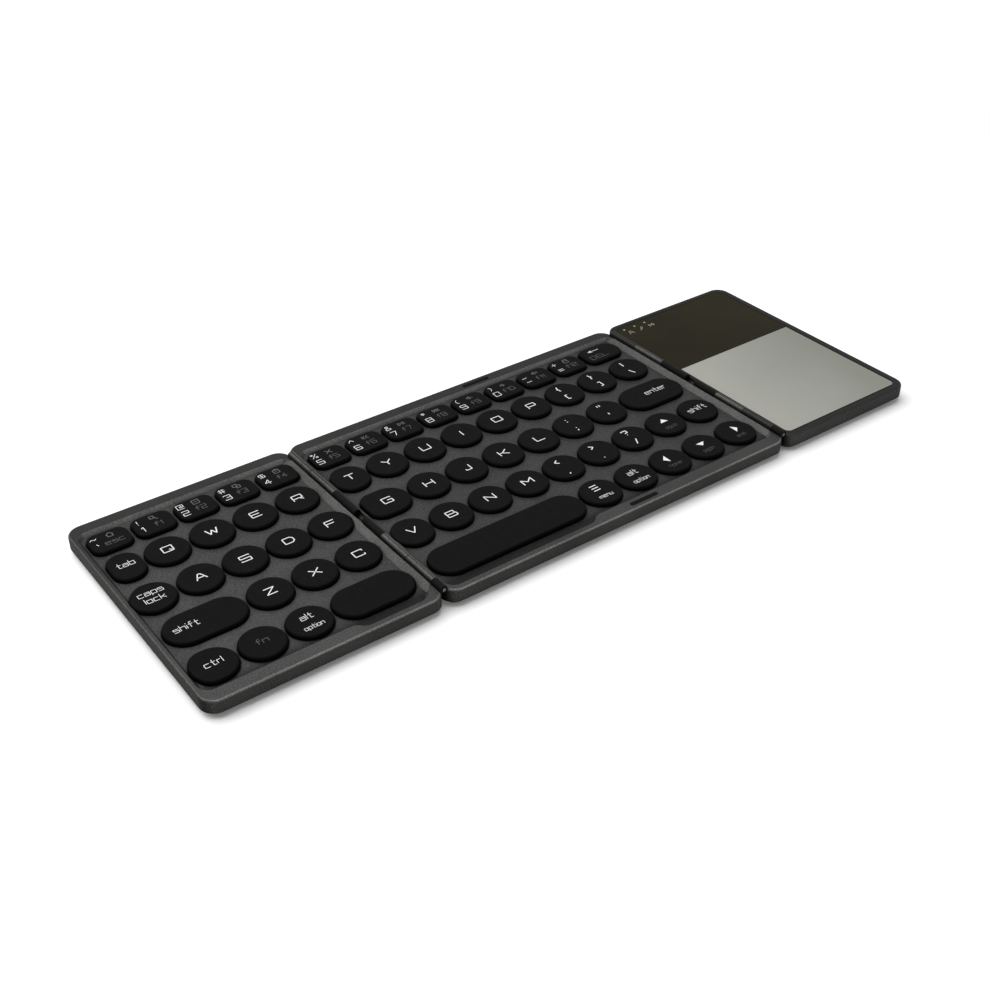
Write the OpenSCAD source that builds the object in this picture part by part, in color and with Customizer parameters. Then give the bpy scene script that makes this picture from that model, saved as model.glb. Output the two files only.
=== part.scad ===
// Folding keyboard: two wings hinged to a centre panel, in millimetres.
// X runs along the keyboard from the left wing to the right, Y from the front
// edge to the back edge, and Z up from the table. The wings fold up and over
// the centre panel. Every piece is a module, drawn where it lies when open.

/* [Panels] */
// Length of the left wing, from its outer end to its hinge axis
left_w = 80.3; // [79.6:0.1:80.8]
// Length of the centre panel, from one hinge axis to the other
center_w = 144.8; // [144.4:0.1:148]
// Length of the right wing, from its hinge axis to its outer end
right_w = 63.1; // [60:0.1:63.5]
// Depth of every panel, from front to back
depth = 100; // [99.6:0.1:106]
// Gap from each panel to the hinge axis beside it
panel_gap = 0.22; // [0.15:0.01:0.4]
// Radius of the panel corners seen from above
corner_r = 5.2; // [4.6:0.1:6]
// Rounding of the casing's upper edge
edge_r = 0.8; // [0.3:0.1:1.2]
// Thickness of the casing's side walls
wall = 1.3; // [1:0.1:1.5]

/* [Heights] */
// How far the feet stand out under the bottom shells
foot_h = 0.6; // [0.4:0.1:1.5]
// Thickness of the bottom shells' floor
floor_t = 1.0; // [0.8:0.1:1.1]
// Height of the bottom shells, all of it a 45 degree chamfer outside
shell_h = 1.9; // [1.8:0.1:2.1]
// Width of the chamfer round the bottom shells
shell_in = 1.9; // [0.8:0.1:2]
// Height of the casings above the bottom shells
casing_h = 4.5; // [4.4:0.1:5.2]
// Seam between a casing and its bottom shell
seam = 0.1; // [0.05:0.01:0.2]
// How far the key deck lies below the rim
deck_drop = 1.2; // [1:0.1:1.25]
// Thickness of the key deck
deck_t = 1.2; // [1:0.1:1.3]

/* [Rims] */
// Width of the flat rims along the front and the back
rim_y = 4.95; // [4.4:0.05:5.5]
// Width of the rim along the left wing's outer end
rim_end = 1.6; // [1.4:0.1:1.9]
// Distance from a hinge axis to the recess where the centre panel starts
rim_hinge = 2.2; // [2:0.1:2.3]
// Width of the slope from a rim down to the key deck
slope_w = 1.0; // [0.4:0.1:1.2]
// Corner radius of the key deck's recess, at rim level
recess_r = 4; // [2.5:0.1:4.5]
// Distance from a hinge axis to the top of the ramp beside it
ramp_top = 1.45; // [1.35:0.05:1.5]
// Distance from a hinge axis to the foot of the ramp beside it
ramp_foot = 3.9; // [3.4:0.1:4]
// How far the recess steps towards the front edge at the space keys
step_y = 2.7; // [1.5:0.1:2.8]
// Length of the S bend that leads to this step
step_w = 6; // [4:0.1:8]

/* [Keys] */
// Diameter of a round key, and the height of each key in the letter rows
key_d = 14.8; // [14:0.1:14.85]
// Distance between neighbouring round keys
key_pitch = 15.5; // [15.45:0.05:15.6]
// Distance between the letter rows
row_pitch = 18.85; // [18.2:0.05:19]
// Distance from the front edge to the middle of the front row
front_row = 14.35; // [14.2:0.05:14.6]
// Distance from the back edge to the middle of the number row
number_row = 13.4; // [13.2:0.05:13.6]
// Height of a number key
number_h = 11.2; // [10:0.1:11.6]
// Width of a number key
number_w = 13.9; // [12:0.1:14.2]
// Distance between neighbouring number keys
number_pitch = 15; // [14.9:0.05:15.05]
// Corner radius of a number key
number_r = 3.5; // [2.6:0.1:5]
// Corner radius at the squared end of a key that starts a row
soft_r = 5; // [4:0.1:6]
// Distance from the left wing's outer end to its first keys
left_margin = 3.2; // [3.05:0.05:3.4]
// Distance from the left hinge axis to the centre panel's first keys
center_margin = 3.3; // [3.25:0.05:3.5]
// Distance from the right hinge axis to the end of the enter and delete keys
right_margin = 4.4; // [3.9:0.1:5]
// Distance from the left hinge axis to the left space key
left_space_end = 3.6; // [3.3:0.1:5]
// First round key of the left wing's upper letter row, from the outer end
left_upper = 22.5; // [22.2:0.1:22.9]
// First round key of the left wing's home row, from the outer end
left_home = 24.5; // [23.8:0.1:24.7]
// Distance between the round keys in the left wing's home row
home_pitch = 15.3; // [15.25:0.05:15.35]
// First round key of the left wing's lower letter row, from the outer end
left_lower = 38.2; // [36:0.1:38.6]
// First round key of the left wing's front row, from the outer end
left_front = 25.3; // [24.5:0.1:26]
// First round key of the centre's upper letter row, from the left hinge axis
center_upper = 23.9; // [23.6:0.1:24.1]
// First round key of the centre's home row, from the left hinge axis
center_home = 28.2; // [27:0.1:30]
// First round key of the centre's lower letter row, from the left hinge axis
center_lower = 24.2; // [23.8:0.1:24.3]
// First round key of the centre's front row, from the left hinge axis
center_front = 71.2; // [70:0.1:71.4]
// Height of the key tops above the deck
key_rise = 1.4; // [1.1:0.05:1.45]
// How far a key goes down
travel = 1.2; // [0.8:0.05:1.2]
// Gap left under a stem when its key is down
stop_gap = 0.1; // [0.05:0.05:0.15]
// How much straight edge is left above and below the round end of the delete key
delete_flat = 0.3; // [0.2:0.05:0.6]
// Rounding of a key's upper edge
key_edge = 0.9; // [0.4:0.1:1.2]
// Thickness of a key's top
cap_top = 1.0; // [0.7:0.1:1.2]
// Thickness of a key's skirt
cap_wall = 0.9; // [0.7:0.1:1.1]
// Gap round a key in the deck
key_gap = 0.15; // [0.1:0.01:0.17]
// Radius of the stem under a key
stem_r = 1.1; // [0.9:0.05:1.3]
// Width of a retaining hook
hook_w = 3; // [2:0.1:4]
// How far a hook reaches out from the skirt
hook_out = 0.55; // [0.3:0.05:0.6]
// Thickness of a hook
hook_t = 0.4; // [0.3:0.05:0.45]
// Gap from a hook up to the deck
hook_gap = 0.15; // [0.1:0.01:0.25]

/* [Hinges] */
// Height of the hinge axes above the rims
axis_rise = 0.35; // [0.3:0.05:0.5]
// Radius of the knuckles
knuckle_r = 1.3; // [1.1:0.05:1.35]
// Gap from a knuckle to the notch it turns in
notch_gap = 0.25; // [0.15:0.01:0.3]
// Gap between neighbours along a hinge
link_gap = 0.25; // [0.1:0.01:0.5]
// Radius of the hinge pins
pin_r = 0.55; // [0.4:0.05:0.65]
// Running clearance round a hinge pin
pin_gap = 0.05; // [0.02:0.01:0.1]
// Distance from the back edge to the first knuckle
hinge_start = 5; // [5:0.1:6]
// Length of the wing's back knuckle
knuckle_a = 14.4; // [12:0.1:15]
// Length of the centre panel's back knuckle
knuckle_b = 15.4; // [13:0.1:16]
// Length of the centre panel's sleeve
sleeve_c = 13.7; // [12:0.1:14.5]
// Gap between the two sleeves
sleeve_space = 4.5; // [3:0.1:5]
// Length of the wing's sleeve
sleeve_w = 11; // [10:0.1:12]
// Length of the centre panel's front knuckle
knuckle_f = 14.2; // [12:0.1:15]
// Length of the wing's front knuckle
knuckle_g = 14.3; // [12:0.1:15]
// Length of the end cap
cap_l = 5; // [3:0.1:7]
// Distance from the end cap to the front edge
cap_start = 2.5; // [2:0.1:4]
// How far a sleeve's tongue reaches into its panel
tongue_l = 1.75; // [1.6:0.05:1.8]
// Thickness of a tongue
tongue_t = 0.5; // [0.3:0.05:0.55]
// Gap round a tongue
tongue_gap = 0.08; // [0.05:0.01:0.1]
// Distance from a tongue to its sleeve's ends
tongue_in = 2; // [1:0.1:4]
// How far a tongue's underside lies below the knuckles
tongue_drop = 0.15; // [0.1:0.01:0.2]
// Distance from the pins' inner ends to the sleeves
pin_short = 1; // [0.5:0.1:3]
// How far the back pins end inside the back knuckles
pin_set = 0.5; // [0.2:0.1:2]
// How far the front pins stand out of the end caps
pin_out = 0.2; // [0.1:0.05:0.5]

/* [Under the keys] */
// Thickness of the steel base plates
plate_t = 0.3; // [0.2:0.05:0.3]
// Thickness of the switch sheets
sheet_t = 0.3; // [0.2:0.05:0.3]
// Thickness of the dome mats
mat_t = 0.3; // [0.2:0.05:0.3]
// Gap from the layers to the shells' side walls
layer_gap = 0.3; // [0.2:0.05:0.5]
// Distance from the layers to the front and back edges
layer_y = 6; // [6:0.1:7]
// Radius of a dome at its foot
dome_r = 3.4; // [2.8:0.1:3.8]
// Radius of a dome at its collar
collar_r = 2.2; // [1.8:0.1:2.6]
// Gap round a stem in its collar
stem_gap = 0.3; // [0.2:0.05:0.4]
// How far a stem reaches into its collar
stem_in = 0.5; // [0.3:0.05:0.7]
// Radius of the stakes that hold the layers to the deck
stake_r = 0.8; // [0.6:0.05:1]
// Gap round a stake in the layers
stake_gap = 0.15; // [0.1:0.01:0.3]
// Distance from the left wing's outer end to its first stakes
left_stake_a = 18; // [17:0.5:19]
// Distance from the left wing's outer end to its second stakes
left_stake_b = 58; // [57:0.5:59]
// Distance from the left hinge axis to the centre's first stakes
center_stake_a = 20; // [19:0.5:21]
// Distance from the left hinge axis to the centre's second stakes
center_stake_b = 72; // [71:0.5:73]
// Distance from the left hinge axis to the centre's third stakes
center_stake_c = 125; // [124:0.5:126]
// Slope of a collar: how much wider it is at half its height
collar_slope = 0.2; // [0.1:0.05:0.4]
// Corner radius of the layers
layer_r = 2; // [1:0.1:4]

/* [Fasteners and feet] */
// Distance from the screws to the front and back edges
screw_y = 3.8; // [3.75:0.05:3.9]
// Distance from the screws to the ends of a panel
screw_x = 10; // [8:0.1:14]
// Radius of the screw bosses
boss_r = 1.7; // [1.4:0.1:1.8]
// Radius of a screw's thread
screw_r = 0.6; // [0.5:0.05:0.7]
// Radius of a screw's head
head_r = 1.3; // [1.1:0.05:1.4]
// Height of a screw's head
head_h = 0.45; // [0.3:0.05:0.5]
// Distance from the centre panel's middle to its middle screws
middle_screw = 20; // [18:0.5:22]
// How deep the screw heads lie in the shells
head_set = 0.05; // [0.02:0.01:0.1]
// Room past a screw's point in its boss
pilot_extra = 0.5; // [0.2:0.1:0.6]
// Gap round the screws and the magnets
fit_gap = 0.06; // [0.04:0.01:0.1]
// Radius of the feet
foot_r = 3.5; // [2.5:0.1:4]
// How deep the feet are set into the shells
foot_in = 0.4; // [0.2:0.05:0.5]
// Distance from the feet to the ends of a panel
foot_x = 12; // [9:0.1:16]
// Distance from the feet to the front and back edges
foot_y = 12; // [10:0.1:16]
// Radius of the closing magnets
magnet_r = 2; // [1.5:0.1:2.1]
// Thickness of the closing magnets
magnet_t = 0.8; // [0.5:0.05:0.9]
// Distance from the left hinge axis to the left wing's magnets
left_magnet = 60; // [50:0.5:64]
// Distance from the right hinge axis to the right wing's magnets
right_magnet = 45; // [40:0.5:50]

/* [Bumpers] */
// Distance from the right hinge axis to the middle of the bumpers
bumper_x = 64.8; // [64:0.1:66]
// Length of a bumper
bumper_l = 11.6; // [9:0.1:14]
// Width of a bumper
bumper_w = 1.5; // [1.2:0.1:2]
// Distance from the bumpers to the front and back edges
bumper_y = 2.7; // [2.4:0.1:3]
// How far the bumpers stand up from the rim
bumper_up = 0.2; // [0.1:0.05:0.4]

/* [Touch plate] */
// Distance from the right hinge axis to the touch plate
touch_in = 2.6; // [2.5:0.05:4]
// Distance from the touch plate to the right wing's outer end
touch_end = 3; // [2.6:0.1:5]
// Distance from the touch plate to the front and back edges
touch_y = 2.55; // [2.2:0.05:4]
// Corner radius of the touch plate
touch_r = 4; // [2:0.1:5]
// Thickness of the touch plate
touch_t = 0.9; // [0.7:0.05:1]
// How far the touch plate lies below the rim
touch_drop = 0.05; // [0:0.01:0.2]
// Rounding of the touch plate's edge
touch_edge = 0.15; // [0.05:0.05:0.3]
// Gap round the touch plate
touch_gap = 0.12; // [0.08:0.01:0.2]
// Width of the ledge under the touch plate's sides
ledge_x = 1.5; // [1.2:0.1:3]
// Width of the ledge under the touch plate's front and back
ledge_y = 4; // [3.9:0.1:5]
// Thickness of the touch board
touch_board_t = 0.8; // [0.5:0.05:0.9]
// Radius of an indicator light
light_r = 0.45; // [0.3:0.05:0.6]
// Gap round an indicator light
light_gap = 0.03; // [0.02:0.01:0.05]
// Gap from the touch board to the edges of its window
touch_board_gap = 0.3; // [0.2:0.05:0.5]
// Gap from the touch board up to the touch plate
touch_board_drop = 0.1; // [0.05:0.01:0.15]
// Distance from the right hinge axis to the first indicator light
light_x = 6.4; // [5:0.1:8]
// Distance between the indicator lights
light_pitch = 5.3; // [4:0.1:6]
// Distance from the indicator lights to the back edge
light_y = 5; // [4.5:0.1:6]

/* [Electronics] */
// Length of the battery
battery_l = 44; // [30:0.5:48]
// Depth of the battery
battery_d = 48; // [40:0.5:50]
// Thickness of the battery
battery_t = 2.6; // [2:0.1:2.9]
// Length of the main board
board_l = 44; // [36:0.5:48]
// Depth of the main board
board_d = 26; // [22:0.5:28]
// Thickness of the main board
board_t = 0.8; // [0.6:0.1:0.9]
// Height of the posts under the main board
post_h = 0.3; // [0.2:0.05:0.4]
// Width of the charging socket
socket_w = 7.6; // [7:0.1:9]
// Depth of the charging socket
socket_d = 5.4; // [5:0.1:6]
// Height of the charging socket
socket_h = 2.6; // [2.2:0.1:2.7]
// Thickness of the charging socket's steel shell
socket_t = 0.3; // [0.2:0.05:0.4]

// Distance from the right hinge axis to the battery and the main board
board_in = 7; // [6:0.1:9]
// Distance from the main board to the back edge
board_back = 3.55; // [3.4:0.05:4]
// Gap from the main board to the screw boss in its corner
board_gap = 0.4; // [0.2:0.05:0.6]
// Gap between the battery and the main board
battery_gap = 3; // [1:0.1:5]
// Corner radius of the battery
battery_r = 2; // [1.3:0.1:4]
// Rounding of the battery's upper edge
battery_edge = 0.6; // [0.3:0.1:0.6]
// Radius of the posts under the main board
post_r = 1.2; // [0.8:0.1:1.6]
// Distance from the posts to the ends and the front of the main board
post_in = 3; // [2:0.1:4]
// Distance from the posts to the back of the main board
post_back = 8; // [6:0.1:10]
// Thickness of the charging socket's closed end
socket_end = 1; // [0.5:0.1:1.5]
// Distance from the charging socket's mouth to the back edge
socket_in = 0.3; // [0.1:0.05:0.5]
// Gap at the sides of the charging socket in the casing
socket_side_gap = 0.2; // [0.1:0.05:0.3]
// Gap above and below the charging socket in the casing
socket_gap = 0.1; // [0.05:0.05:0.2]
// Thickness of the charging socket's contact blade
blade_t = 0.4; // [0.3:0.05:0.6]
// Distance from the contact blade to the socket's ends
blade_in = 0.5; // [0.3:0.05:0.7]

/* [Hidden] */
$fn = 48;
// How far a cut runs past what it cuts, and how far joined forms reach into each other
cut = 1;
sink = 0.1;
// A length too small to draw
tiny = 0.01;
left_end = -(left_w + center_w + right_w) / 2;
hinge_l = left_end + left_w;
hinge_r = hinge_l + center_w;
right_end = hinge_r + right_w;
back = depth / 2;
left_span = [left_end, hinge_l - panel_gap];
center_span = [hinge_l + panel_gap, hinge_r - panel_gap];
right_span = [hinge_r + panel_gap, right_end];
z_floor = foot_h + floor_t;
z_seam = foot_h + shell_h;
z_rim = z_seam + casing_h;
z_deck = z_rim - deck_drop;
z_under = z_deck - deck_t;
z_axis = z_rim + axis_rise;
z_plate = z_floor + plate_t;
z_sheet = z_plate + sheet_t;
z_mat = z_sheet + mat_t;
z_key = z_deck + key_rise;
z_skirt = z_under - hook_gap - hook_t;
z_stem = z_sheet + travel + stop_gap;
shell_wall = shell_in * (1 - floor_t / shell_h) + wall;
notch_r = knuckle_r + notch_gap;
round_r = key_d / 2;
next_gap = key_pitch - key_d;
row_y = [for (i = [0:3]) -back + front_row + i * row_pitch];
number_y = back - number_row;
wide_from = 1.5 * key_d;
least_flat = 0.8;
touch_x = [hinge_r + touch_in, right_end - touch_end];
z_touch = z_rim - touch_drop - touch_t;
board_x = hinge_r + board_in;
board_y = back - board_back - board_d;
z_board = z_floor + post_h;
socket_x = board_x + board_l / 2;
steel = [0.72, 0.73, 0.75];
casing_grey = [0.3, 0.3, 0.31];
key_black = [0.1, 0.1, 0.11];

// ---- Basic forms ----

// Half of a slab's section: X out from the corner's centre, Y up. It has a
// chamfer of [height, width] at its foot and a rounding of radius f on top.
module edge_section(r, z, f, chamfer) {
    foot = chamfer[0] > 0 ? [[r - chamfer[1], z[0]], [r, z[0] + chamfer[0]]] : [[r, z[0]]];
    top = f > 0 ? [[r, z[1] - f], [r - f, z[1] - f], [r - f, z[1]]] : [[r, z[1]]];
    polygon(concat([[0, z[0]]], foot, top, [[0, z[1]]]));
    if (f > 0)
        translate([r - f, z[1] - f]) circle(f);
}

// Slab with rounded corners. box is [x0, x1, y0, y1] and r is the corner
// radius at [x0, x1].
module slab(box, r, z, f = 0, chamfer = [0, 0]) {
    h = box[3] - box[2];
    span = box[1] - box[0] - r[0] - r[1];
    middle = (box[2] + box[3]) / 2;
    ends = span > tiny ? [0, 1] : [0];
    if (span > tiny)
        translate([box[0] + r[0], middle, 0]) rotate([90, 0, 90]) linear_extrude(span) {
            edge_section(h / 2, z, f, chamfer);
            mirror([1, 0]) edge_section(h / 2, z, f, chamfer);
        }
    for (i = ends) {
        x = i == 0 ? box[0] + r[0] : box[1] - r[1];
        straight = h - 2 * r[i];
        for (y = straight > tiny ? [-straight / 2, straight / 2] : [0])
            translate([x, middle + y, 0]) rotate_extrude() edge_section(r[i], z, f, chamfer);
        if (straight > tiny)
            translate([x, middle, 0]) rotate([90, 0, i == 0 ? 180 : 0])
                linear_extrude(straight, center = true) edge_section(r[i], z, f, chamfer);
    }
}

// Box grown by g on every side, or shrunk if g is negative
function grown(box, g) = [box[0] - g, box[1] + g, box[2] - g, box[3] + g];

// Footprint of a panel, set in from its outline by g
function footprint(span, g) = grown([span[0], span[1], -back, back], -g);

// Cylinder along Y, from y0 to y1
module rod(r, y0, y1) {
    translate([0, y1, 0]) rotate([90, 0, 0]) cylinder(r = r, h = y1 - y0);
}

// Child at both edges of the keyboard, at a distance from them
module both_edges(distance) {
    for (s = [-1, 1])
        translate([0, s * (back - distance), 0]) children();
}

// ---- Layout of the keys: each is [x0, x1, y0, y1, left radius, right radius] ----

function round_key(x, row) = [
    x - round_r, x + round_r, row_y[row] - round_r, row_y[row] + round_r, round_r, round_r
];
function wide_key(x0, x1, row, r0, r1) = [
    x0, x1, row_y[row] - round_r, row_y[row] + round_r, r0, min(r1, x1 - x0 - r0 - least_flat)
];
function round_keys(x, row, count, pitch = key_pitch) = [
    for (i = [0:count - 1]) round_key(x + i * pitch, row)
];
function number_key(x, w, r) = [
    x, x + w, number_y - number_h / 2, number_y + number_h / 2, number_r, r
];

left_key = left_end + left_margin;
center_key = hinge_l + center_margin;
last_key = hinge_r - right_margin;
before_round = round_r + next_gap;

left_numbers = [for (i = [0:4]) number_key(left_key + i * number_pitch, number_w, number_r)];
tab = [wide_key(left_key, left_end + left_upper - before_round, 3, soft_r, round_r)];
left_uppers = round_keys(left_end + left_upper, 3, 4);
caps = [wide_key(left_key, left_end + left_home - before_round, 2, soft_r, round_r)];
left_homes = round_keys(left_end + left_home, 2, 4, home_pitch);
left_shift = [wide_key(left_key, left_end + left_lower - before_round, 1, round_r, round_r)];
left_lowers = round_keys(left_end + left_lower, 1, 3);
ctrl = [wide_key(left_key, left_end + left_front - before_round, 0, soft_r, round_r)];
left_modifiers = round_keys(left_end + left_front, 0, 2);
left_space_x = left_end + left_front + key_pitch + before_round;
left_space = [wide_key(left_space_x, hinge_l - left_space_end, 0, round_r, round_r)];

center_numbers = [
    for (i = [0:7]) number_key(center_key + i * number_pitch, number_w, number_r)
];
delete_x = center_key + 8 * number_pitch;
delete = [number_key(delete_x, last_key - delete_x, number_h / 2 - delete_flat)];
center_edges = [
    wide_key(center_key, hinge_l + center_upper - before_round, 3, soft_r, round_r),
    wide_key(center_key, hinge_l + center_home - before_round, 2, soft_r, round_r),
    wide_key(center_key, hinge_l + center_lower - before_round, 1, soft_r, round_r)
];
center_uppers = round_keys(hinge_l + center_upper, 3, 8);
center_homes = round_keys(hinge_l + center_home, 2, 6);
enter_x = hinge_l + center_home + 5 * key_pitch + before_round;
enter = [wide_key(enter_x, last_key, 2, round_r, round_r)];
center_lowers = round_keys(hinge_l + center_lower, 1, 6);
up = round_keys(hinge_l + center_lower + 6 * key_pitch, 1, 1);
right_shift = round_keys(hinge_l + center_lower + 7 * key_pitch, 1, 1);
center_space_x = hinge_l + center_front - before_round;
center_space = [wide_key(center_key, center_space_x, 0, round_r, round_r)];
center_modifiers = round_keys(hinge_l + center_front, 0, 2);
left_arrow = round_keys(hinge_l + center_front + 2 * key_pitch, 0, 1);
down = round_keys(hinge_l + center_front + 3 * key_pitch, 0, 1);
right_arrow = round_keys(hinge_l + center_front + 4 * key_pitch, 0, 1);

left_all = concat(
    left_numbers, tab, left_uppers, caps, left_homes, left_shift, left_lowers, ctrl,
    left_modifiers, left_space
);
center_all = concat(
    center_numbers, delete, center_edges, center_uppers, center_homes, enter,
    center_lowers, up, right_shift, center_space, center_modifiers, left_arrow, down,
    right_arrow
);

// Where a key's stems stand: one in the middle, and one near each end of a long key
function stems(k) =
    let (x = (k[0] + k[1]) / 2, y = (k[2] + k[3]) / 2, reach = (k[1] - k[0]) / 2 - round_r)
    k[1] - k[0] > wide_from ? [[x - reach, y], [x, y], [x + reach, y]] : [[x, y]];

// ---- Keys ----

module key_cap(k) {
    box = [k[0], k[1], k[2], k[3]];
    r = [k[4], k[5]];
    difference() {
        slab(box, r, [z_skirt, z_key], key_edge);
        slab(grown(box, -cap_wall), [r[0] - cap_wall, r[1] - cap_wall],
            [z_skirt - cut, z_key - cap_top]);
    }
    hook_y = (k[3] - k[2] + hook_out - cap_wall / 2) / 2;
    for (s = stems(k)) {
        translate([s[0], s[1], z_stem]) cylinder(r = stem_r, h = z_key - cap_top / 2 - z_stem);
        for (side = [-1, 1])
            translate([s[0], s[1] + side * hook_y, z_skirt + hook_t / 2])
                cube([hook_w, hook_out + cap_wall / 2, hook_t], center = true);
    }
}

module keys(list) color(key_black) {
    for (k = list)
        key_cap(k);
}

module key_openings(list) {
    for (k = list)
        slab(grown([k[0], k[1], k[2], k[3]], key_gap), [k[4] + key_gap, k[5] + key_gap],
            [z_under - cut, z_rim + cut]);
}

// ---- Hinges, drawn about an axis at the origin with the wing at -X ----

// Lengths of the links along a hinge from the back to the front, fitted
// together to the panel's depth, and the ends of the links
links = [knuckle_a, knuckle_b, sleeve_c, sleeve_space, sleeve_w, knuckle_f, knuckle_g, cap_l];
function total(list, count) = count == 0 ? 0 : list[count - 1] + total(list, count - 1);
link_fit = (depth - hinge_start - cap_start) / total(links, len(links));
hinge_y = [for (i = [0:len(links)]) back - hinge_start - link_fit * total(links, i)];

module at_left_hinge() translate([hinge_l, 0, z_axis]) children();
module at_right_hinge() translate([hinge_r, 0, z_axis]) mirror([1, 0, 0]) children();

// Barrel between two ends of the list above, with a shoulder down to its panel
module knuckle(i, side) {
    y0 = hinge_y[i + 1] + link_gap / 2;
    y1 = hinge_y[i] - link_gap / 2;
    rod(knuckle_r, y0, y1);
    translate([side < 0 ? -knuckle_r : 0, y0, -axis_rise - deck_drop / 2])
        cube([knuckle_r, y1 - y0, axis_rise + deck_drop / 2]);
}

module wing_knuckles() {
    for (i = [0, 6])
        knuckle(i, -1);
}

module center_knuckles() {
    for (i = [1, 5])
        knuckle(i, 1);
}

module notch(i, j) rod(notch_r, hinge_y[j] - link_gap / 2, hinge_y[i] + link_gap / 2);

module wing_notches() {
    notch(1, 6);
    notch(7, 8);
}

module center_notches() {
    notch(0, 1);
    notch(2, 5);
    notch(6, 8);
}

module pin_bore() rod(pin_r + pin_gap, hinge_y[8] - cut, hinge_y[0] + cut);

// Tongue of a sleeve, or the pocket it sits in when g is a gap
module tongue(i, side, g = 0) {
    y0 = hinge_y[i + 1] + tongue_in - g;
    y1 = hinge_y[i] - tongue_in + g;
    translate([side < 0 ? -tongue_l - g : 0, y0, -knuckle_r - tongue_drop - g])
        cube([tongue_l + g, y1 - y0, tongue_t + 2 * g]);
}

module hinge_sleeve(i, side) color([0.09, 0.09, 0.1]) difference() {
    union() {
        rod(knuckle_r, hinge_y[i + 1] + link_gap / 2, hinge_y[i] - link_gap / 2);
        tongue(i, side);
    }
    pin_bore();
}

module hinge_pins() color(steel) {
    rod(pin_r, hinge_y[2] + pin_short, hinge_y[0] - pin_set);
    rod(pin_r, hinge_y[8] - pin_out, hinge_y[5] - pin_short);
}

module hinge_cap() color([0.09, 0.09, 0.1]) difference() {
    rod(knuckle_r, hinge_y[8], hinge_y[7] - link_gap / 2);
    pin_bore();
}

// ---- Casings ----

// Walled top of a panel before anything is cut from it
module casing(span) {
    difference() {
        slab(footprint(span, 0), [corner_r, corner_r], [z_seam, z_rim], edge_r);
        slab(footprint(span, wall), [corner_r - wall, corner_r - wall], [z_seam - cut, z_under]);
    }
}

// Recess of the key deck, between x0 and x1 at rim level
module deck_recess(x0, x1) {
    slab([x0, x1, -back + rim_y, back - rim_y], [recess_r, recess_r], [z_deck, z_rim + cut],
        0, [deck_drop, slope_w]);
}

// Where the recess steps forward: from x0 to an S bend that starts at x1,
// drawn towards +X
module front_step(x0, x1) {
    low = -back + rim_y - step_y;
    bend_r = (step_w * step_w + step_y * step_y) / (4 * step_y);
    turn = asin(step_w / 2 / bend_r);
    intersection() {
        slab([x0, x1 + recess_r * 3, low, 0], [recess_r, recess_r], [z_deck, z_rim + cut], 0,
            [deck_drop, slope_w]);
        translate([0, 0, z_deck - cut]) linear_extrude(deck_drop + 3 * cut)
            polygon(concat(
                [[x0 - cut, 0], [x0 - cut, low - cut], [x1 - step_w, low - cut]],
                [for (a = [0:turn / 6:turn + tiny])
                    [x1 - step_w + bend_r * sin(a), low + bend_r * (1 - cos(a))]],
                [for (a = [turn:-turn / 6:-tiny])
                    [x1 - bend_r * sin(a), low + step_y - bend_r * (1 - cos(a))]],
                [[x1, 0]]
            ));
    }
}

// Ramp from the deck up to the rim beside a hinge axis, with its panel at -X
module ramp() {
    rotate([90, 0, 0]) linear_extrude(depth - 2 * rim_y, center = true) polygon([
        [-ramp_foot, z_deck - z_axis], [-ramp_top, z_rim - z_axis],
        [-panel_gap - edge_r, z_rim - z_axis], [-panel_gap - edge_r, z_under - z_axis],
        [-ramp_foot, z_under - z_axis]
    ]);
}

module screw_bosses(xs) {
    for (x = xs)
        both_edges(screw_y) translate([x, 0, z_floor])
            cylinder(r = boss_r, h = z_under - z_floor + sink);
}

module screw_pilots(xs) {
    for (x = xs)
        both_edges(screw_y) translate([x, 0, z_floor - cut])
            cylinder(r = screw_r + fit_gap, h = z_under - z_floor + cut + pilot_extra);
}

module stakes(xs, r, z0, z1) {
    for (x = xs, row = [0:2])
        translate([x, (row_y[row] + row_y[row + 1]) / 2, z0]) cylinder(r = r, h = z1 - z0);
}

module magnets(xs, g = 0) {
    for (x = xs)
        both_edges(screw_y) translate([x, 0, z_under - (g > 0 ? cut : 0)])
            cylinder(r = magnet_r + g, h = magnet_t + g + (g > 0 ? cut : 0));
}

left_screw_x = [left_end + screw_x, hinge_l - screw_x];
center_screw_x = [hinge_l + screw_x, (hinge_l + hinge_r) / 2 - middle_screw, hinge_r - screw_x];
right_screw_x = [hinge_r + screw_x, right_end - screw_x];
left_stake_x = [left_end + left_stake_a, left_end + left_stake_b];
center_stake_x = [for (x = [center_stake_a, center_stake_b, center_stake_c]) hinge_l + x];
left_magnet_x = [hinge_l - left_magnet];
center_magnet_x = [hinge_l + left_magnet, hinge_r - right_magnet];
right_magnet_x = [hinge_r + right_magnet];

module left_frame() color(casing_grey) difference() {
    union() {
        difference() {
            casing(left_span);
            deck_recess(left_end + rim_end, hinge_l - ramp_top);
            mirror([1, 0, 0]) front_step(-hinge_l + ramp_foot, -left_space_x);
        }
        at_left_hinge() ramp();
        screw_bosses(left_screw_x);
        stakes(left_stake_x, stake_r, z_floor + sink, z_under + sink);
        at_left_hinge() wing_knuckles();
    }
    key_openings(left_all);
    at_left_hinge() {
        wing_notches();
        pin_bore();
        tongue(4, -1, tongue_gap);
    }
    screw_pilots(left_screw_x);
    magnets(left_magnet_x, fit_gap);
}

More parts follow.
